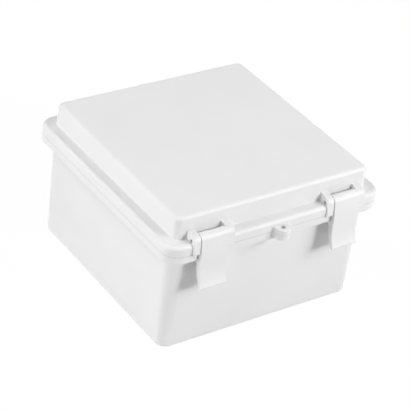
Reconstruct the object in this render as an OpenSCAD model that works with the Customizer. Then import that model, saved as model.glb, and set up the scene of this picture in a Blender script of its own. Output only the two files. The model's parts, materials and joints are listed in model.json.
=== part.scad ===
// Hinged polycarbonate enclosure: a square base tub and a domed lid that meet at
// a projecting rim, two draw-down latches on the front, a two-part lock eye
// between them and two knuckle hinges on the back.
// The origin is on the underside, at the middle of the four wall-fixing holes.
// +X is to the right, the latches face -Y and +Z is up.  Millimetres.

/* [Overall size] */
// Width across the rim
rim_w = 150; // [120:1:240]
// Depth across the rim
rim_d = 150; // [130:1:240]
// Height from the underside to the top of the lid
overall_h = 90; // [80:1:140]
// Height of the parting line between base and lid
split_h = 69.5; // [50:0.5:72]

/* [Base tub] */
// How far the rim stands out from the base wall at the parting line
rim_out = 6; // [5:0.1:8]
// Height of the rim band on the base
base_rim_h = 4.8; // [4:0.1:7]
// Radius of the upright corners of the base wall
base_corner_r = 7.5; // [6:0.5:11]
// Draft of the base wall from upright, in degrees
base_draft = 0.35; // [0:0.05:1]
// Thickness of the base wall
wall_t = 3; // [2.5:0.1:3.5]
// Thickness of the floor
floor_t = 3; // [2.5:0.1:5]
// Radius along the bottom edge of the base
base_edge_r = 2; // [1:0.25:2.5]
// Radius where the inner wall meets the floor
inner_edge_r = 1.5; // [0.5:0.25:2.5]

/* [Lid] */
// Height of the flange on the lid, above the parting line
flange_h = 6.6; // [6:0.1:8]
// Radius of the upright corners of the rim and flange
rim_corner_r = 9.9; // [9.5:0.1:13]
// Radius along the top edge of the flange
flange_edge_r = 2.5; // [1:0.25:3]
// How far the flange stands out from the foot of the dome
dome_setback = 7.2; // [7:0.1:8.5]
// Draft of the dome wall from upright, in degrees
dome_draft = 3.3; // [0:0.1:5]
// Radius of the upright corners at the foot of the dome
dome_corner_r = 4.6; // [4.5:0.1:7]
// Radius along the top edge of the dome
dome_edge_r = 2.4; // [1:0.1:2.6]
// Thickness of the dome wall
dome_wall_t = 2.8; // [2:0.1:3]
// Thickness of the lid's top
lid_top_t = 3; // [2:0.1:5]
// Radius where the inner dome wall meets the lid's top
lid_inner_edge_r = 1; // [0.25:0.05:1]

/* [Seal] */
// Width of the tongue on top of the base wall
tongue_t = 1.6; // [1:0.1:2]
// Height of the tongue above the parting line
tongue_h = 1.45; // [1:0.05:2]
// Gap between the tongue and each side of the groove
tongue_clear = 1; // [0.5:0.1:1.2]
// Depth of the groove in the underside of the lid
groove_depth = 3; // [2.7:0.1:3.5]
// Gap between the tongue and the gasket
gasket_gap = 0.05; // [0.02:0.01:0.2]
// Gap between the gasket and each side of its groove
gasket_side_clear = 0.1; // [0:0.05:0.3]
// Thickness of the lid's lip inside the groove
groove_lip_t = 2; // [1.2:0.1:3]

/* [Latches] */
// Distance of each latch's middle from the side of the rim
latch_inset = 28.4; // [26:0.1:32]
// Width of a latch
latch_w = 17.7; // [14:0.1:22]
// Gap between a latch and the lug on each side of it
latch_side_clear = 0.25; // [0.2:0.05:0.6]
// Height of the latch pin above the parting line
latch_pin_rise = 7.6; // [7.4:0.1:8.5]
// Distance of the latch pin behind the rim's front face
latch_pin_in = 2.5; // [2.4:0.1:3]
// Radius of the latch pin
latch_pin_r = 1.2; // [0.9:0.05:1.4]
// Radius of the latch head about its pin
head_r = 3.6; // [3.2:0.1:3.8]
// How far the foot of the latch plate stands out from the rim's front face
plate_proud = 2.8; // [2.2:0.1:3.4]
// Thickness of the latch plate at its foot, where the finger lip starts
plate_t = 3.9; // [3.2:0.1:4.4]
// Gap between the latch plate and the pocket behind it
plate_clear = 0.3; // [0.2:0.05:0.5]
// Length of the latch below its pin
latch_drop = 28.6; // [24:0.1:34]
// Length of the curved finger lip at the foot of the latch
lip_len = 12.5; // [8:0.5:15]
// Radius of the finger lip's outer face
lip_r = 29; // [20:1:40]
// Thickness of the finger lip at its end
lip_end_t = 1.9; // [1.4:0.1:2.2]
// Reach of the hook behind the latch plate
hook_reach = 3.4; // [2.5:0.1:4]
// Height of the hook
hook_h = 3; // [2:0.1:4]
// Gap between the hook and the underside of the base rim
hook_clear = 0.15; // [0.1:0.05:0.3]

/* [Latch lugs] */
// Thickness of a lug
lug_t = 4.5; // [3.5:0.1:6]
// How far a lug's foot stands out from the rim's front face
lug_proud = 1.5; // [0.8:0.1:1.8]
// Radius of a lug's nose about the pin
lug_nose_r = 3.2; // [2.6:0.1:3.6]
// Height at which a lug meets the dome wall, above the pin
lug_rise = 4.4; // [4:0.1:5.5]
// Room that the latch head has round it to swing in its pocket
head_clear = 0.7; // [0.6:0.05:0.8]
// Extra width of the pocket in the base rim, on each side
hook_pocket_side = 0.9; // [0.3:0.1:2]

/* [Lock eye] */
// Radius of the rounded end of the lock eye
eye_r = 4.5; // [4:0.1:6]
// Distance of the eye's hole from the rim's front face
eye_out = 2.5; // [2:0.1:5]
// Radius of the hole in the eye
eye_hole_r = 1.7; // [1.2:0.1:2.2]
// Thickness of each of the two tabs
eye_t = 3.2; // [2:0.1:3.6]
// Radius of the fillets beside the tabs
eye_root_r = 2; // [1:0.1:3]

/* [Hinges] */
// Distance of each hinge's middle from the side of the rim
hinge_inset = 34; // [28:0.1:40]
// Radius of the hinge knuckles
knuckle_r = 3.5; // [3:0.1:4.5]
// Gap between a knuckle and the rim's back face
knuckle_clear = 0.3; // [0.2:0.05:0.6]
// Length of the lid's knuckle
knuckle_len = 17.6; // [10:0.2:24]
// Length of each of the two base knuckles
base_knuckle_len = 4.9; // [4:0.1:8]
// Gap between the ends of neighbouring knuckles
knuckle_gap = 0.35; // [0.2:0.05:0.6]
// Radius of the hinge pin
hinge_pin_r = 1.25; // [1:0.05:1.5]

/* [Pins] */
// Radial clearance of a pin in the pieces that hold it
pin_seat_clear = 0.01; // [0.01:0.01:0.03]
// Radial clearance of a pin in the piece that turns on it
pin_run_clear = 0.06; // [0.03:0.01:0.1]
// Depth of each pin end below the face it sits behind
pin_recess = 1.5; // [0.5:0.1:2]

/* [Panel inserts] */
// Distance of the panel inserts from the sides of the rim
insert_inset_x = 22; // [20:0.5:28]
// Distance of the panel inserts from the front and back of the rim
insert_inset_y = 20; // [18:0.5:22]
// Outside radius of an insert
insert_r = 2.8; // [2.6:0.1:3.2]
// Radius of the tapped hole in an insert
insert_hole_r = 1.65; // [1.2:0.05:2]
// Length of an insert
insert_len = 6.4; // [5:0.2:8]
// Radial clearance of an insert in its boss
insert_clear = 0.02; // [0.01:0.01:0.05]
// Height of an insert boss above the floor
boss_h = 9; // [8:0.5:14]
// Thickness of the boss around its insert
boss_wall = 1.9; // [1.5:0.1:2.5]
// Thickness of the ribs that tie a boss to the walls
boss_rib_t = 1.6; // [1:0.1:2.5]

/* [Wall fixing] */
// Distance of the wall-fixing holes from the sides of the rim
fix_inset_x = 17; // [16:0.5:26]
// Distance of the wall-fixing holes from the front and back of the rim
fix_inset_y = 37; // [35:0.5:50]
// Radius of a wall-fixing hole
fix_hole_r = 2.25; // [2:0.05:2.75]
// Radius of the recess for the screw head
fix_head_r = 4.3; // [4:0.1:4.5]
// Height of the collar round the recess, above the floor
fix_collar_h = 5; // [4:0.5:8]
// Thickness of the collar
fix_collar_t = 1.5; // [1.2:0.1:2]
// Depth that a cap's plug enters the recess
cap_plug_h = 2; // [1:0.1:2.5]
// Thickness of a cap's head
cap_head_h = 1; // [0.8:0.1:2]
// Radial clearance of a cap's plug in its recess
cap_clear = 0.02; // [0.01:0.01:0.05]

/* [Hidden] */
$fn = 64;
SIDES = ["left", "right"];
CORNERS = ["front_left", "front_right", "rear_left", "rear_right"];

body_color = [0.91, 0.91, 0.90];
seal_color = [0.15, 0.15, 0.15];
steel_color = [0.70, 0.71, 0.72];
brass_color = [0.78, 0.63, 0.32];
cap_color = [0.55, 0.56, 0.57];

// A little extra, so that a cut passes clean through a face.
cut = 1;

// Half sizes of the rim, the base wall at the parting line and the dome's foot.
rim_half = [rim_w / 2, rim_d / 2];
base_half = rim_half - [rim_out, rim_out];
dome_half = rim_half - [dome_setback, dome_setback];

// Heights.
rim_bottom = split_h - base_rim_h;
flange_top = split_h + flange_h;

// Places of the front and back faces, the pins and the hinge axis.
front_y = -rim_half[1];
back_y = rim_half[1];
latch_pin_y = front_y + latch_pin_in;
latch_pin_z = split_h + latch_pin_rise;
hinge_y = back_y + knuckle_clear + knuckle_r;
hinge_z = split_h;

// Places of the latches, hinges, inserts and wall-fixing holes, from the middle.
latch_x = rim_half[0] - latch_inset;
hinge_x = rim_half[0] - hinge_inset;
insert_place = rim_half - [insert_inset_x, insert_inset_y];
fix_place = rim_half - [fix_inset_x, fix_inset_y];

// The seal runs on the middle of the base wall.
tongue_mid = base_half - [wall_t / 2, wall_t / 2];
tongue_mid_r = base_corner_r - wall_t / 2;
groove_half_t = tongue_t / 2 + tongue_clear;
groove_top = split_h + groove_depth;
gasket_bottom = split_h + tongue_h + gasket_gap;

// Latch sizes, measured from the pin.
plate_front = latch_pin_in + plate_proud;
plate_back = plate_front - plate_t;
pocket_y = latch_pin_y - plate_back + plate_clear;
slot_half_w = latch_w / 2 + latch_side_clear;
hook_top = latch_pin_rise + base_rim_h + hook_clear;
lug_half_len = slot_half_w + lug_t;
hook_pocket_half = slot_half_w + hook_pocket_side;

// Hinge places along X, measured from the middle of a hinge.
base_knuckle_mid = knuckle_len / 2 + knuckle_gap + base_knuckle_len / 2;
hinge_half_len = base_knuckle_mid + base_knuckle_len / 2;

// Top of the insert bosses, and room for a screw's tip below an insert.
boss_top = floor_t + boss_h;
pilot_clear = 0.35;
insert_waist = 1;

// Share of the hook's height that its upright tip takes, and the steps along
// the plate's outer face and along the finger lip.
hook_tip_share = 0.4;
face_steps = 6;
lip_steps = 10;

// Least radius of an upright inner corner, and the least that a block's corner
// keeps inside its edge radii.
min_corner_r = 0.5;
corner_spare = 0.125;

// -- Shared shapes ---------------------------------------------------------

// A rounded rectangle in the XY plane.
module rounded_rect(half, r) {
    square([2 * (half[0] - r), 2 * half[1]], center = true);
    square([2 * half[0], 2 * (half[1] - r)], center = true);
    for (sx = [-1, 1], sy = [-1, 1])
        translate([sx * (half[0] - r), sy * (half[1] - r)]) circle(r);
}

// A ring between two rounded rectangles, t wide, centred on the line half.
module rounded_ring(half, r, t) {
    difference() {
        rounded_rect(half + [t / 2, t / 2], r + t / 2);
        rounded_rect(half - [t / 2, t / 2], r - t / 2);
    }
}

// Place of the wall line at height z: u0 at z0, leaning inwards by draft.
function wall_u(u0, z0, draft, z) = u0 - (z - z0) * tan(draft);

// Half section of a block with a drafted side, from its corner axis outwards.
// u is the radius at the height ref_z, and each edge radius may be nothing.
module edge_section(u, ref_z, z0, z1, draft, bottom_r, top_r) {
    bottom_u = wall_u(u, ref_z, draft, z0 + bottom_r) - bottom_r / cos(draft);
    top_u = wall_u(u, ref_z, draft, z1 - top_r) - top_r / cos(draft);
    lean = [cos(draft), sin(draft)];
    polygon([
        [0, z0],
        [bottom_u, z0],
        [bottom_u, z0 + bottom_r],
        [bottom_u, z0 + bottom_r] + bottom_r * lean,
        [top_u, z1 - top_r] + top_r * lean,
        [top_u, z1 - top_r],
        [top_u, z1],
        [0, z1]
    ]);
    if (bottom_r > 0) edge_round([bottom_u, z0 + bottom_r], bottom_r);
    if (top_r > 0) edge_round([top_u, z1 - top_r], top_r);
}

// The part of a circle that lies outside the corner axis.
module edge_round(centre, r) {
    intersection() {
        translate(centre) circle(r);
        translate([0, centre[1] - r]) square([centre[0] + r, 2 * r]);
    }
}

// Least corner radius at ref_z that leaves room for the draft and both edges.
function least_corner_r(ref_z, z0, z1, draft, bottom_r, top_r) = corner_spare + max(
    (z0 - ref_z) * tan(draft) + bottom_r / cos(draft),
    (z1 - ref_z) * tan(draft) + top_r / cos(draft)
);

// A block with upright corners of radius corner_r, drafted sides and rounded
// edges.  half and corner_r are its size at the height ref_z.
module drafted_block(half, corner_r, ref_z, z0, z1, draft = 0, bottom_r = 0, top_r = 0) {
    r = max(corner_r, least_corner_r(ref_z, z0, z1, draft, bottom_r, top_r));
    core = half - [r, r];
    translate([-core[0], -core[1], z0]) cube([2 * core[0], 2 * core[1], z1 - z0]);
    for (turn = [0 : 90 : 270]) {
        along = turn % 180 == 0 ? core[1] : core[0];
        across = turn % 180 == 0 ? core[0] : core[1];
        rotate(turn) translate([across, along, 0]) {
            rotate([90, 0, 0]) linear_extrude(2 * along)
                edge_section(r, ref_z, z0, z1, draft, bottom_r, top_r);
            rotate_extrude(angle = 90)
                edge_section(r, ref_z, z0, z1, draft, bottom_r, top_r);
        }
    }
}

// Extrudes a shape drawn in the YZ plane along X, centred on x.
module across_x(x, width) {
    translate([x - width / 2, 0, 0]) rotate([90, 0, 90]) linear_extrude(width) children();
}

// A round bar along X, centred on x.
module bar_x(x, y, z, r, length) {
    across_x(x, length) translate([y, z]) circle(r);
}

// Angle at which a line from the point p touches the circle of radius r at c.
function touch_angle(c, r, p, side) =
    atan2(p[1] - c[1], p[0] - c[0]) + side * acos(r / norm(p - c));
function on_circle(c, r, a) = c + r * [cos(a), sin(a)];

// Plan of one tab of the lock eye, with its two root fillets.
module eye_plan() {
    difference() {
        union() {
            translate([0, front_y - eye_out]) circle(eye_r);
            translate([-eye_r, front_y - eye_out]) square([2 * eye_r, eye_out + cut]);
            translate([-eye_r - eye_root_r, front_y - eye_root_r])
                square([2 * (eye_r + eye_root_r), eye_root_r + cut]);
        }
        for (s = [-1, 1])
            translate([s * (eye_r + eye_root_r), front_y - eye_root_r]) circle(eye_root_r);
        translate([0, front_y - eye_out]) circle(eye_hole_r);
    }
}

// -- Base ------------------------------------------------------------------

// Corner boss for a panel insert, tied to both walls by ribs.
module insert_boss(sx, sy) {
    centre = [sx * insert_place[0], sy * insert_place[1]];
    reach = base_half - [wall_t / 2, wall_t / 2];
    translate([centre[0], centre[1], floor_t - cut])
        cylinder(h = boss_h + cut, r = insert_r + boss_wall);
    translate([0, 0, floor_t - cut]) linear_extrude(cut + boss_h - boss_wall) {
        translate([min(centre[0], sx * reach[0]), centre[1] - boss_rib_t / 2])
            square([abs(sx * reach[0] - centre[0]), boss_rib_t]);
        translate([centre[0] - boss_rib_t / 2, min(centre[1], sy * reach[1])])
            square([boss_rib_t, abs(sy * reach[1] - centre[1])]);
    }
}

// Outline of a base knuckle in the YZ plane, with its web to the base rim.
module base_knuckle_outline() {
    c = [hinge_y, hinge_z];
    foot = [back_y, rim_bottom];
    translate(c) circle(knuckle_r);
    polygon([
        c, on_circle(c, knuckle_r, touch_angle(c, knuckle_r, foot, 1)),
        foot, foot - [cut, 0], [back_y - cut, split_h]
    ]);
}

// Everything of the base except what is cut out of its outside.
module base_body() {
    difference() {
        union() {
            drafted_block(base_half, base_corner_r, split_h, 0, split_h,
                -base_draft, base_edge_r);
            drafted_block(rim_half, rim_corner_r, split_h, rim_bottom, split_h);
            translate([0, 0, split_h - cut]) linear_extrude(tongue_h + cut)
                rounded_ring(tongue_mid, tongue_mid_r, tongue_t);
        }
        drafted_block(base_half - [wall_t, wall_t], base_corner_r - wall_t, split_h,
            floor_t, split_h + tongue_h + cut, -base_draft, inner_edge_r);
    }
    translate([0, 0, split_h - eye_t]) linear_extrude(eye_t) eye_plan();
    for (sx = [-1, 1], sy = [-1, 1]) {
        insert_boss(sx, sy);
        translate([sx * fix_place[0], sy * fix_place[1], floor_t - cut])
            cylinder(h = fix_collar_h + cut, r = fix_head_r + fix_collar_t);
    }
    for (s = [-1, 1], side = [-1, 1])
        across_x(s * hinge_x + side * base_knuckle_mid, base_knuckle_len)
            base_knuckle_outline();
}

module base_shell() {
    color(body_color) difference() {
        base_body();
        for (sx = [-1, 1], sy = [-1, 1]) {
            translate([sx * insert_place[0], sy * insert_place[1], 0]) {
                translate([0, 0, boss_top - insert_len])
                    cylinder(h = insert_len + cut, r = insert_r + insert_clear);
                translate([0, 0, floor_t])
                    cylinder(h = boss_h, r = insert_hole_r + pilot_clear);
            }
            translate([sx * fix_place[0], sy * fix_place[1], 0]) {
                translate([0, 0, -cut]) cylinder(h = floor_t + 2 * cut, r = fix_hole_r);
                translate([0, 0, floor_t]) cylinder(h = fix_collar_h + cut, r = fix_head_r);
            }
        }
        for (s = [-1, 1]) {
            translate([s * latch_x - hook_pocket_half, front_y - cut, rim_bottom - cut])
                cube([2 * hook_pocket_half, cut + pocket_y - front_y, base_rim_h + 2 * cut]);
            bar_x(s * hinge_x, hinge_y, hinge_z, hinge_pin_r + pin_seat_clear,
                2 * hinge_half_len + 2 * cut);
        }
    }
}

// -- Lid -------------------------------------------------------------------

// Outline of a latch lug in the YZ plane: a round nose about the pin, joined to
// the dome wall by a slope and to its foot by a front that leans outwards.
module lug_outline() {
    c = [latch_pin_y, latch_pin_z];
    top_z = latch_pin_z + lug_rise;
    top = [-wall_u(dome_half[1], flange_top, dome_draft, top_z), top_z];
    foot = [front_y - lug_proud, split_h];
    translate(c) circle(lug_nose_r);
    polygon([
        top, on_circle(c, lug_nose_r, touch_angle(c, lug_nose_r, top, 1)), c,
        on_circle(c, lug_nose_r, touch_angle(c, lug_nose_r, foot, -1)), foot,
        [-dome_half[1] + cut, split_h], [top[0] + cut, split_h], top + [cut, 0]
    ]);
}

// Outline of the room that a latch needs in the flange, in the YZ plane.
module latch_pocket_outline() {
    room_r = head_r + head_clear;
    translate([latch_pin_y, latch_pin_z]) {
        circle(room_r);
        translate([-room_r, 0]) square([2 * room_r, room_r + cut]);
    }
    translate([front_y - cut, split_h - cut])
        square([pocket_y - front_y + cut, flange_h + 2 * cut]);
}

// Outline of the lid's knuckle in the YZ plane, with its web to the flange.
module lid_knuckle_outline() {
    c = [hinge_y, hinge_z];
    head = [back_y, flange_top - flange_edge_r];
    translate(c) circle(knuckle_r);
    polygon([
        c, on_circle(c, knuckle_r, touch_angle(c, knuckle_r, head, -1)),
        head, head - [cut, 0], [back_y - cut, split_h]
    ]);
}

// The lid before its latch pockets and bores are cut.
module lid_body() {
    lip_half = tongue_mid - (groove_half_t + groove_lip_t) * [1, 1];
    difference() {
        union() {
            drafted_block(dome_half, dome_corner_r, flange_top, split_h + groove_depth,
                overall_h, dome_draft, 0, dome_edge_r);
            drafted_block(rim_half, rim_corner_r, split_h, split_h, flange_top,
                0, 0, flange_edge_r);
            for (s = [-1, 1], side = [-1, 1])
                across_x(s * latch_x + side * (slot_half_w + lug_t / 2), lug_t) lug_outline();
        }
        drafted_block(dome_half - [dome_wall_t, dome_wall_t], dome_corner_r - dome_wall_t,
            flange_top, groove_top + groove_lip_t, overall_h - lid_top_t, dome_draft,
            0, lid_inner_edge_r);
        translate([0, 0, split_h - cut]) linear_extrude(groove_depth + groove_lip_t + 2 * cut)
            rounded_rect(lip_half, max(tongue_mid_r - groove_half_t - groove_lip_t, min_corner_r));
        translate([0, 0, split_h - cut]) linear_extrude(groove_depth + cut)
            rounded_ring(tongue_mid, tongue_mid_r, 2 * groove_half_t);
    }
    translate([0, 0, split_h]) linear_extrude(eye_t) eye_plan();
    for (s = [-1, 1]) across_x(s * hinge_x, knuckle_len) lid_knuckle_outline();
}

module lid_shell() {
    color(body_color) difference() {
        lid_body();
        for (s = [-1, 1]) {
            across_x(s * latch_x, 2 * slot_half_w) latch_pocket_outline();
            bar_x(s * latch_x, latch_pin_y, latch_pin_z, latch_pin_r + pin_seat_clear,
                2 * lug_half_len + 2 * cut);
            bar_x(s * hinge_x, hinge_y, hinge_z, hinge_pin_r + pin_run_clear,
                knuckle_len + 2 * cut);
        }
    }
}

module lid_gasket() {
    color(seal_color) translate([0, 0, gasket_bottom])
        linear_extrude(groove_top - gasket_bottom)
            rounded_ring(tongue_mid, tongue_mid_r, 2 * (groove_half_t - gasket_side_clear));
}

// -- Latches ---------------------------------------------------------------

// Finger lip at the foot of a latch: a band between two arcs, thinning to its
// end, drawn from the foot of the plate's outer face.
module finger_lip() {
    sweep = asin(lip_len / lip_r);
    function lip_t(a) = plate_t + (lip_end_t - plate_t) * a / sweep;
    function along(radius, a) = [radius * cos(a) - lip_r, -radius * sin(a)];
    angles = [for (i = [0 : lip_steps]) sweep * i / lip_steps];
    polygon(concat(
        [[plate_t, cut], [0, cut]],
        [for (a = angles) along(lip_r, a)],
        [for (i = [lip_steps : -1 : 0]) along(lip_r + lip_t(angles[i]), angles[i])]
    ));
    translate(along(lip_r + lip_end_t / 2, sweep)) circle(lip_end_t / 2);
}

// Side outline of a latch in the YZ plane, with its pin at the origin.  The
// plate's outer face is an arc that leaves the round head smoothly and stands
// upright at the foot.
module latch_outline() {
    foot = [-plate_front, lip_len - latch_drop];
    face_r = (foot * foot - head_r * head_r) / (2 * (plate_front - head_r));
    face_sweep = asin(-foot[1] / (face_r - head_r));
    hook_tip = hook_reach - plate_back;
    circle(head_r);
    polygon(concat(
        [[0, 0]],
        [for (i = [face_steps : -1 : 0])
            on_circle(foot + [face_r, 0], face_r, 180 - face_sweep * i / face_steps)],
        [[-plate_back, foot[1]], [-plate_back, -hook_top - hook_h],
        [hook_tip, -hook_top - hook_h * hook_tip_share], [hook_tip, -hook_top],
        [-plate_back, -hook_top], [-plate_back, 0]]
    ));
    translate(foot) finger_lip();
}

module latch(s) {
    color(body_color) difference() {
        across_x(s * latch_x, latch_w)
            translate([latch_pin_y, latch_pin_z]) latch_outline();
        bar_x(s * latch_x, latch_pin_y, latch_pin_z, latch_pin_r + pin_run_clear,
            latch_w + 2 * cut);
    }
}

// -- Pins, inserts and caps ------------------------------------------------

module latch_pin(s) {
    color(steel_color) bar_x(s * latch_x, latch_pin_y, latch_pin_z, latch_pin_r,
        2 * (lug_half_len - pin_recess));
}

module hinge_pin(s) {
    color(steel_color) bar_x(s * hinge_x, hinge_y, hinge_z, hinge_pin_r,
        2 * (hinge_half_len - pin_recess));
}

// Brass insert with a waist between its two knurled bands.
module panel_insert(sx, sy) {
    color(brass_color)
        translate([sx * insert_place[0], sy * insert_place[1], boss_top - insert_len])
            rotate_extrude() difference() {
                translate([insert_hole_r, 0]) square([insert_r - insert_hole_r, insert_len]);
                translate([insert_r - insert_waist / 2, (insert_len - insert_waist) / 2])
                    square([insert_waist, insert_waist]);
            }
}

// Push-in cap that covers a wall-fixing screw.
module screw_cap(sx, sy) {
    collar_top = floor_t + fix_collar_h;
    color(cap_color)
        translate([sx * fix_place[0], sy * fix_place[1], collar_top]) {
            translate([0, 0, -cap_plug_h])
                cylinder(h = cap_plug_h + cap_head_h / 2, r = fix_head_r - cap_clear);
            cylinder(h = cap_head_h, r = fix_head_r + fix_collar_t);
        }
}

// -- Assembly --------------------------------------------------------------

base_shell();
lid_shell();
lid_gasket();
for (i = [0, 1]) {
    s = 2 * i - 1;
    latch(s);
    latch_pin(s);
    hinge_pin(s);
}
for (i = [0 : 3]) {
    sx = 2 * (i % 2) - 1;
    sy = 2 * floor(i / 2) - 1;
    panel_insert(sx, sy);
    screw_cap(sx, sy);
}
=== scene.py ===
"""Looks for the hinged polycarbonate enclosure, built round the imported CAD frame."""
import json
import math

import bmesh
import bpy
from mathutils import Matrix, Vector


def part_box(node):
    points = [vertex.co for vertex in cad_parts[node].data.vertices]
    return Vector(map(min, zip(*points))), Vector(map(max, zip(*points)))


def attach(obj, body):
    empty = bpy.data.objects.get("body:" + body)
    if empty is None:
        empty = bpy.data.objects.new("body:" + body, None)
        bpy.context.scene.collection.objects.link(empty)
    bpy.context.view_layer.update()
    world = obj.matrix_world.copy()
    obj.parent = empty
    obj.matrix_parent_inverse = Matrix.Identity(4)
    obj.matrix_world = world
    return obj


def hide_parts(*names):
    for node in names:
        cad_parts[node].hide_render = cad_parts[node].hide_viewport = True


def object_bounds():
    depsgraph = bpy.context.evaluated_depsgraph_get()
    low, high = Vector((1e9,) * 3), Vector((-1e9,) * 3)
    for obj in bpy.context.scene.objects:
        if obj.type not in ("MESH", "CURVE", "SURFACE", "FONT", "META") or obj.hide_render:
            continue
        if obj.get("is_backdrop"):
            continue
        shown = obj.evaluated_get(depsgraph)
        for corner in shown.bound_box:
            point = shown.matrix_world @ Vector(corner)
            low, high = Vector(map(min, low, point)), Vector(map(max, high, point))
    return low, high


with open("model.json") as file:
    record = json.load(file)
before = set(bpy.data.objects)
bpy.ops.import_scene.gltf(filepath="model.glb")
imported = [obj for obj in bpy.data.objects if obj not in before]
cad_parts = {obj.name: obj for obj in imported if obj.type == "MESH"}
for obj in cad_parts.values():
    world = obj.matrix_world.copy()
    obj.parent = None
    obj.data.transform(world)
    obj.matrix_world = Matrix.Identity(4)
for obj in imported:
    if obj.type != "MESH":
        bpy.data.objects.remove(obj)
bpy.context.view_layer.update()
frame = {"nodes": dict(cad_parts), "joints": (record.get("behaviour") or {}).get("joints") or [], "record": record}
scene = bpy.context.scene

MM = 0.001

# Camera: where it stands round the object, its lens and its sensor, in degrees and
# millimetres.
CAMERA_AZIMUTH = -38.27
CAMERA_ELEVATION = 33.58
CAMERA_ROLL = 8.16
CAMERA_TARGET_MM = (10.7, 10.0, 30.0)
CAMERA_DISTANCE_MM = 1045.4
CAMERA_LENS = 148.3
CAMERA_SENSOR = 36.0

# Colours, as linear values.
SHELL_COLOR = (0.80, 0.80, 0.80)
GASKET_COLOR = (0.035, 0.036, 0.038)
STEEL_COLOR = (0.56, 0.57, 0.58)
BRASS_COLOR = (0.72, 0.53, 0.25)
CAP_COLOR = (0.42, 0.43, 0.44)
FLOOR_COLOR = (0.70, 0.70, 0.70)

# Floor: its size in metres, how far it lies under the enclosure so that the two faces do
# not fight, and the strength and share of the white that the camera sees in it.
FLOOR_SIZE = 12.0
FLOOR_DROP_MM = 0.3
FLOOR_WHITE = 1.03
FLOOR_WHITE_SHARE = 0.93

# Painted shade for the shadow in the gap where base and lid meet, level with the lid's
# hinge: its height in metres, half its width, how far out from the middle it starts, and
# its colour.
JOINT_Z = next(j for j in frame["joints"] if j["name"] == "lid_hinge")["pos_m"][2]
JOINT_HALF_W_MM = 0.12
JOINT_REACH_MM = 71.0
JOINT_SHADE_COLOR = (0.50, 0.50, 0.50)

# Lamps: name, azimuth and elevation seen from the object, in degrees, distance and
# size in metres, and power in watts.
LAMPS = (
    ("key", 26.5, 25.5, 1.5, 0.4, 8.6),
    ("front_right", 45.0, 30.0, 1.5, 0.7, 9.2),
    ("front_high", 0.0, 60.0, 1.5, 0.7, 1.5),
    ("left", -90.0, 10.0, 1.5, 0.7, 11.9),
    ("left_high", -90.0, 60.0, 1.5, 0.7, 2.2),
    ("behind_left", -130.0, 47.0, 1.5, 0.7, 7.4),
    ("behind_right", 140.0, 45.0, 1.5, 0.7, 2.2),
    ("top", 0.0, 88.0, 1.5, 0.9, 1.3),
)
WORLD_STRENGTH = 0.01


# -- Materials -------------------------------------------------------------------

# Sockets of a colour Mix node.
MIX_FACTOR = 0
MIX_A = 6
MIX_B = 7
MIX_RESULT = 2

# The part of a noise texture's range that its values fill.
NOISE_LOW = 0.3
NOISE_HIGH = 0.7

PLASTIC_IOR = 1.58
# The upright faces are those whose normal's Z part is under this.
UPRIGHT_SLOPE = 0.5


def put(tree, value, socket):
    """Links an output to a socket, or sets the socket to a number or colour."""
    if isinstance(value, bpy.types.NodeSocket):
        tree.links.new(value, socket)
    else:
        socket.default_value = value


def new_material(name):
    """An empty node material with its output and a Principled shader."""
    mat = bpy.data.materials.new(name)
    mat.use_nodes = True
    tree = mat.node_tree
    tree.nodes.clear()
    out = tree.nodes.new("ShaderNodeOutputMaterial")
    shader = tree.nodes.new("ShaderNodeBsdfPrincipled")
    tree.links.new(shader.outputs["BSDF"], out.inputs["Surface"])
    return mat, tree, shader


def noise(tree, scale, detail=2.0, roughness=0.5, stretch=(1.0, 1.0, 1.0)):
    """Noise over the object's own coordinates; scale is in waves per metre."""
    coords = tree.nodes.new("ShaderNodeTexCoord")
    mapping = tree.nodes.new("ShaderNodeMapping")
    mapping.inputs["Scale"].default_value = stretch
    node = tree.nodes.new("ShaderNodeTexNoise")
    node.inputs["Scale"].default_value = scale
    node.inputs["Detail"].default_value = detail
    node.inputs["Roughness"].default_value = roughness
    tree.links.new(coords.outputs["Object"], mapping.inputs["Vector"])
    tree.links.new(mapping.outputs["Vector"], node.inputs["Vector"])
    return node.outputs["Fac"]


def spread_noise(tree, value, low, high):
    """Maps a noise's usual values to the range from low to high."""
    node = tree.nodes.new("ShaderNodeMapRange")
    for key, number in (("From Min", NOISE_LOW), ("From Max", NOISE_HIGH),
                        ("To Min", low), ("To Max", high)):
        node.inputs[key].default_value = number
    tree.links.new(value, node.inputs["Value"])
    return node.outputs["Result"]


def mix_colors(tree, factor, color_a, color_b):
    """Blends two colours, each a link or a colour with alpha, by a factor."""
    node = tree.nodes.new("ShaderNodeMix")
    node.data_type = "RGBA"
    put(tree, factor, node.inputs[MIX_FACTOR])
    put(tree, color_a, node.inputs[MIX_A])
    put(tree, color_b, node.inputs[MIX_B])
    return node.outputs[MIX_RESULT]


def bump(tree, shader, height, distance, strength):
    """Adds a bump to the shader; distance is in metres."""
    node = tree.nodes.new("ShaderNodeBump")
    node.inputs["Strength"].default_value = strength
    node.inputs["Distance"].default_value = distance
    tree.links.new(height, node.inputs["Height"])
    tree.links.new(node.outputs["Normal"], shader.inputs["Normal"])


def shade(color, factor=1.0):
    """A colour made lighter or darker, with alpha."""
    return (*(min(1.0, part * factor) for part in color), 1.0)


def math_node(tree, operation, *values):
    """A Math node of links and numbers."""
    node = tree.nodes.new("ShaderNodeMath")
    node.operation = operation
    for i, value in enumerate(values):
        put(tree, value, node.inputs[i])
    return node.outputs[0]


def parts_of(tree, vector):
    """The X, Y and Z parts of a vector."""
    node = tree.nodes.new("ShaderNodeSeparateXYZ")
    tree.links.new(vector, node.inputs[0])
    return node.outputs


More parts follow.
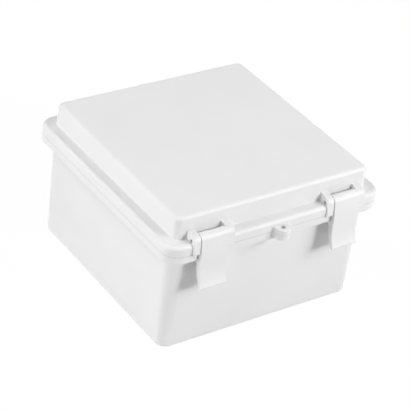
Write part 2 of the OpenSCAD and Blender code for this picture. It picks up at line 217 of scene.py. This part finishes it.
def painted_joint_shade(tree):
    """1 along the thin line of painted shade where the outer faces of base and lid meet, otherwise 0."""
    coords = tree.nodes.new("ShaderNodeTexCoord")
    place = parts_of(tree, coords.outputs["Object"])
    away = math_node(tree, "SUBTRACT", place["Z"], JOINT_Z)
    near = math_node(tree, "LESS_THAN", math_node(tree, "ABSOLUTE", away), JOINT_HALF_W_MM * MM)
    slope = math_node(tree, "ABSOLUTE", parts_of(tree, coords.outputs["Normal"])["Z"])
    upright = math_node(tree, "LESS_THAN", slope, UPRIGHT_SLOPE)
    reach = math_node(tree, "MAXIMUM", math_node(tree, "ABSOLUTE", place["X"]),
                      math_node(tree, "ABSOLUTE", place["Y"]))
    outside = math_node(tree, "GREATER_THAN", reach, JOINT_REACH_MM * MM)
    return math_node(tree, "MULTIPLY", math_node(tree, "MULTIPLY", near, upright), outside)


def moulded_plastic(name, color, grain_m, roughness, line=False):
    """Satin moulded plastic: a fine spark-eroded grain, a faint cloudiness, and with line a painted shade at the
    joint.
    """
    mat, tree, shader = new_material(name)
    clouds = spread_noise(tree, noise(tree, scale=28.0, detail=3.0), 0.0, 1.0)
    base = mix_colors(tree, clouds, shade(color, 0.988), shade(color, 1.012))
    if line:
        # Painted shade: a dark line in place of the shadow in the gap between base and lid.
        base = mix_colors(tree, painted_joint_shade(tree), base, shade(JOINT_SHADE_COLOR))
    tree.links.new(base, shader.inputs["Base Color"])
    patches = noise(tree, scale=160.0, detail=4.0)
    tree.links.new(spread_noise(tree, patches, roughness - 0.04, roughness + 0.04),
                   shader.inputs["Roughness"])
    shader.inputs["IOR"].default_value = PLASTIC_IOR
    grain = noise(tree, scale=1 / grain_m, detail=3.0, roughness=0.6)
    bump(tree, shader, grain, distance=0.00002, strength=0.35)
    return mat


def foamed_seal(name, color):
    """Foamed sealing ring with a pitted skin."""
    mat, tree, shader = new_material(name)
    cells = noise(tree, scale=2500.0, detail=4.0, roughness=0.7)
    tree.links.new(mix_colors(tree, cells, shade(color, 0.7), shade(color, 1.5)),
                   shader.inputs["Base Color"])
    shader.inputs["Roughness"].default_value = 0.85
    bump(tree, shader, cells, distance=0.0001, strength=0.6)
    return mat


def drawn_metal(name, color, roughness, stretch):
    """Metal with fine lines along the axis that stretch shrinks."""
    mat, tree, shader = new_material(name)
    lines = noise(tree, scale=4000.0, stretch=stretch)
    tree.links.new(mix_colors(tree, lines, shade(color, 0.85), shade(color, 1.1)),
                   shader.inputs["Base Color"])
    tree.links.new(spread_noise(tree, lines, roughness - 0.06, roughness + 0.08),
                   shader.inputs["Roughness"])
    shader.inputs["Metallic"].default_value = 1.0
    bump(tree, shader, lines, distance=0.00001, strength=0.3)
    return mat


MATERIALS = {
    # The shell's line is painted shade along the joint of base and lid.
    "shell": moulded_plastic("shell", SHELL_COLOR, grain_m=0.0006, roughness=0.5, line=True),
    "latch": moulded_plastic("latch", SHELL_COLOR, grain_m=0.0005, roughness=0.46),
    "gasket": foamed_seal("gasket", GASKET_COLOR),
    "pin": drawn_metal("pin", STEEL_COLOR, roughness=0.3, stretch=(0.03, 1.0, 1.0)),
    "insert": drawn_metal("insert", BRASS_COLOR, roughness=0.32, stretch=(1.0, 1.0, 0.05)),
    "cap": moulded_plastic("cap", CAP_COLOR, grain_m=0.0004, roughness=0.5),
}


def paint(obj, mat):
    """Gives an object one material."""
    obj.data.materials.clear()
    obj.data.materials.append(mat)


for part in frame["record"]["subparts"]:
    paint(frame["nodes"][part["node"]], MATERIALS[part["material_slot"]])


# -- Threaded inserts ------------------------------------------------------------

# An M4 thread and the straight knurl on the two bands of an insert, in millimetres.
THREAD_MINOR_R_MM = 1.65
THREAD_MAJOR_R_MM = 2.0
THREAD_PITCH_MM = 0.7
KNURL_DEPTH_MM = 0.14
KNURL_TEETH = 24
WAIST_DEPTH_MM = 0.5
WAIST_H_MM = 1.0
INSERT_CHAMFER_MM = 0.25
STEPS_PER_TOOTH = 3
ROWS_PER_PITCH = 8


def wave(turns):
    """A triangle wave of its place in turns: 0 at each whole turn and 1 half-way."""
    return 1 - abs(2 * (turns % 1.0) - 1)


def insert_rows(radius_mm, height_mm):
    """Rows of an insert's surface as (height, radius by angle), up the outside and down the bore."""
    def plain(radius):
        return lambda turn: radius

    def knurl(turn):
        return radius_mm - KNURL_DEPTH_MM * wave(turn * KNURL_TEETH)

    waist = plain(radius_mm - WAIST_DEPTH_MM)
    edge = plain(radius_mm - INSERT_CHAMFER_MM)
    mouth = plain(THREAD_MAJOR_R_MM + INSERT_CHAMFER_MM / 2)
    waist_low = (height_mm - WAIST_H_MM) / 2
    waist_high = height_mm - waist_low
    top_band = height_mm - INSERT_CHAMFER_MM
    rows = [
        (0.0, mouth), (0.0, edge), (INSERT_CHAMFER_MM, knurl), (waist_low, knurl),
        (waist_low, waist), (waist_high, waist), (waist_high, knurl),
        (top_band, knurl), (height_mm, edge), (height_mm, mouth),
    ]
    steps = round((top_band - INSERT_CHAMFER_MM) / THREAD_PITCH_MM * ROWS_PER_PITCH)
    for i in range(steps + 1):
        z = top_band - (top_band - INSERT_CHAMFER_MM) * i / steps

        def thread(turn, z=z):
            depth = THREAD_MAJOR_R_MM - THREAD_MINOR_R_MM
            return THREAD_MINOR_R_MM + depth * wave(z / THREAD_PITCH_MM - turn)
        rows.append((z, thread))
    return rows


def make_insert(node_name):
    """A knurled brass insert with a cut thread, in place of its plain CAD node."""
    low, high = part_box(node_name)
    middle = (low + high) / 2
    rows = insert_rows((high.x - low.x) / 2 / MM, (high.z - low.z) / MM)
    around = KNURL_TEETH * STEPS_PER_TOOTH
    bm = bmesh.new()
    rings = []
    for z, radius_at in rows:
        ring = []
        for j in range(around):
            angle = 2 * math.pi * j / around
            radius = radius_at(j / around) * MM
            ring.append(bm.verts.new((middle.x + radius * math.cos(angle),
                                      middle.y + radius * math.sin(angle), low.z + z * MM)))
        rings.append(ring)
    for i, ring in enumerate(rings):
        inner = rings[(i + 1) % len(rings)]
        for j in range(around):
            k = (j + 1) % around
            bm.faces.new((ring[j], ring[k], inner[k], inner[j]))
    mesh = bpy.data.meshes.new(node_name + "_detail")
    bm.to_mesh(mesh)
    bm.free()
    piece = bpy.data.objects.new(node_name + "_detail", mesh)
    scene.collection.objects.link(piece)
    paint(piece, MATERIALS["insert"])
    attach(piece, "base")
    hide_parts(node_name)


for part in frame["record"]["subparts"]:
    if part["material_slot"] == "insert":
        make_insert(part["node"])


# -- Floor, lamps and camera ---------------------------------------------------

def light_path_mask(tree):
    """1 for rays from the camera and for what metal and glass show, otherwise 0."""
    rays = tree.nodes.new("ShaderNodeLightPath").outputs
    mirrored = math_node(tree, "MAXIMUM", rays["Is Glossy Ray"], rays["Is Transmission Ray"])
    return math_node(tree, "MAXIMUM", rays["Is Camera Ray"], mirrored)


def make_floor():
    """A pale floor that shows white and keeps a soft shadow."""
    bpy.ops.mesh.primitive_plane_add(size=FLOOR_SIZE, location=(0, 0, -FLOOR_DROP_MM * MM))
    floor = bpy.context.object
    floor.name = "floor"
    mat = bpy.data.materials.new("floor")
    mat.use_nodes = True
    tree = mat.node_tree
    tree.nodes.clear()
    out = tree.nodes.new("ShaderNodeOutputMaterial")
    diffuse = tree.nodes.new("ShaderNodeBsdfDiffuse")
    diffuse.inputs["Color"].default_value = shade(FLOOR_COLOR)
    white = tree.nodes.new("ShaderNodeEmission")
    white.inputs["Strength"].default_value = FLOOR_WHITE
    mix = tree.nodes.new("ShaderNodeMixShader")
    share = math_node(tree, "MULTIPLY", light_path_mask(tree), FLOOR_WHITE_SHARE)
    tree.links.new(share, mix.inputs[0])
    tree.links.new(diffuse.outputs[0], mix.inputs[1])
    tree.links.new(white.outputs[0], mix.inputs[2])
    tree.links.new(mix.outputs[0], out.inputs["Surface"])
    paint(floor, mat)
    floor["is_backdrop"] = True


def make_world():
    """Soft light all round, seen as white."""
    world = bpy.data.worlds.new("studio")
    scene.world = world
    world.use_nodes = True
    tree = world.node_tree
    tree.nodes.clear()
    out = tree.nodes.new("ShaderNodeOutputWorld")
    soft = tree.nodes.new("ShaderNodeBackground")
    soft.inputs["Strength"].default_value = WORLD_STRENGTH
    white = tree.nodes.new("ShaderNodeBackground")
    mix = tree.nodes.new("ShaderNodeMixShader")
    for node in (soft, white):
        node.inputs["Color"].default_value = (1.0, 1.0, 1.0, 1.0)
    tree.links.new(light_path_mask(tree), mix.inputs[0])
    tree.links.new(soft.outputs[0], mix.inputs[1])
    tree.links.new(white.outputs[0], mix.inputs[2])
    tree.links.new(mix.outputs[0], out.inputs["Surface"])


def direction(azimuth, elevation):
    """Unit vector from the object; azimuth 0 is towards -Y and 90 towards +X."""
    a, e = math.radians(azimuth), math.radians(elevation)
    return Vector((math.sin(a) * math.cos(e), -math.cos(a) * math.cos(e), math.sin(e)))


def make_lamps():
    """Square softboxes that all look at the middle of the enclosure."""
    low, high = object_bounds()
    middle = (Vector(low) + Vector(high)) / 2
    for name, azimuth, elevation, distance, size, power in LAMPS:
        data = bpy.data.lights.new(name, "AREA")
        data.size = size
        data.energy = power
        lamp = bpy.data.objects.new(name, data)
        towards = direction(azimuth, elevation)
        lamp.location = middle + distance * towards
        lamp.rotation_euler = towards.to_track_quat("Z", "Y").to_euler()
        scene.collection.objects.link(lamp)


def make_camera():
    """The camera, rolled a little about its line of sight."""
    data = bpy.data.cameras.new("camera")
    data.sensor_width = CAMERA_SENSOR
    data.lens = CAMERA_LENS
    camera = bpy.data.objects.new("camera", data)
    back = direction(CAMERA_AZIMUTH, CAMERA_ELEVATION)
    turn = math.radians(CAMERA_AZIMUTH)
    right = Vector((math.cos(turn), math.sin(turn), 0.0))
    up = back.cross(right)
    roll = math.radians(CAMERA_ROLL)
    x_axis = math.cos(roll) * right + math.sin(roll) * up
    y_axis = math.cos(roll) * up - math.sin(roll) * right
    place = Matrix((x_axis, y_axis, back)).transposed().to_4x4()
    place.translation = MM * (Vector(CAMERA_TARGET_MM) + CAMERA_DISTANCE_MM * back)
    camera.matrix_world = place
    scene.collection.objects.link(camera)
    scene.camera = camera


make_floor()
make_world()
make_lamps()
make_camera()
scene.view_settings.view_transform = "Standard"
